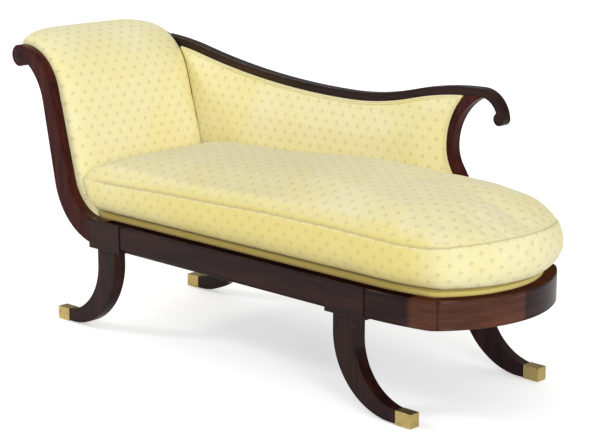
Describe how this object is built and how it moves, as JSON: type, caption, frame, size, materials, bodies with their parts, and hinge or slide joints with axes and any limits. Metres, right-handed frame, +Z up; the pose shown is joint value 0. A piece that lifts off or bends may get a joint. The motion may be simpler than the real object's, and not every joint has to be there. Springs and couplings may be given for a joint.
{
  "type": "recamier",
  "caption": "Scroll-headed day bed with a swept wooden back rail on one side, a rounded open foot, sabre legs in brass toe caps and a loose crowned seat cushion.",
  "frame": {"origin": "on the floor, under the middle of the overall box", "axes": "+X runs from the scrolled head to the rounded foot, +Y from the open front to the side with the back rail, +Z up"},
  "size_m": [1.83, 0.58, 0.885],
  "materials": {
    "mahogany": "dark red-brown polished show wood, satin gloss",
    "frame_wood": "plain unfinished hardwood, hidden",
    "brass": "polished brass, lightly worn",
    "steel": "plain zinc-bright steel",
    "woven_fabric": "butter-yellow woven cloth with a small staggered sprig",
    "lining_cloth": "plain hessian, webbing and dark bottoming cloth"
  },
  "bodies": {
    "frame": {"back_hessian": "lining_cloth", "back_pad": "woven_fabric", "back_rail": "mahogany", "back_tack_rail": "frame_wood", "back_uprights": "frame_wood", "crest_rail": "mahogany", "deck_pad": "woven_fabric", "dust_cover": "lining_cloth", "floor_glides": "steel", "foot_board": "frame_wood", "foot_corner_back": "mahogany", "foot_corner_front": "mahogany", "foot_end_rail": "mahogany", "foot_strut": "mahogany", "front_rail": "mahogany", "head_mid_rail": "frame_wood", "head_pad": "woven_fabric", "head_post_back": "mahogany", "head_post_front": "mahogany", "head_rail": "frame_wood", "head_top_rail": "frame_wood", "head_webbing": "lining_cloth", "leg_block_back_foot": "mahogany", "leg_block_back_head": "mahogany", "leg_block_front_foot": "mahogany", "leg_block_front_head": "mahogany", "leg_bolts": "steel", "outside_back_panel": "woven_fabric", "outside_head_panel": "woven_fabric", "sabre_leg_back_foot": "mahogany", "sabre_leg_back_head": "mahogany", "sabre_leg_front_foot": "mahogany", "sabre_leg_front_head": "mahogany", "scroll_rosettes": "mahogany", "seat_hessian": "lining_cloth", "seat_springs": "steel", "seat_stretcher": "frame_wood", "spring_cleat_back": "frame_wood", "spring_cleat_front": "frame_wood", "toe_cap_back_foot": "brass", "toe_cap_back_head": "brass", "toe_cap_front_foot": "brass", "toe_cap_front_head": "brass"},
    "cushion": {"seat_cushion": "woven_fabric"}
  },
  "joints": [
    {"name": "cushion_lift", "type": "slide", "parent": "frame", "child": "cushion", "axis": [0, 0, 1], "range_m": [0, 0.18]}
  ]
}
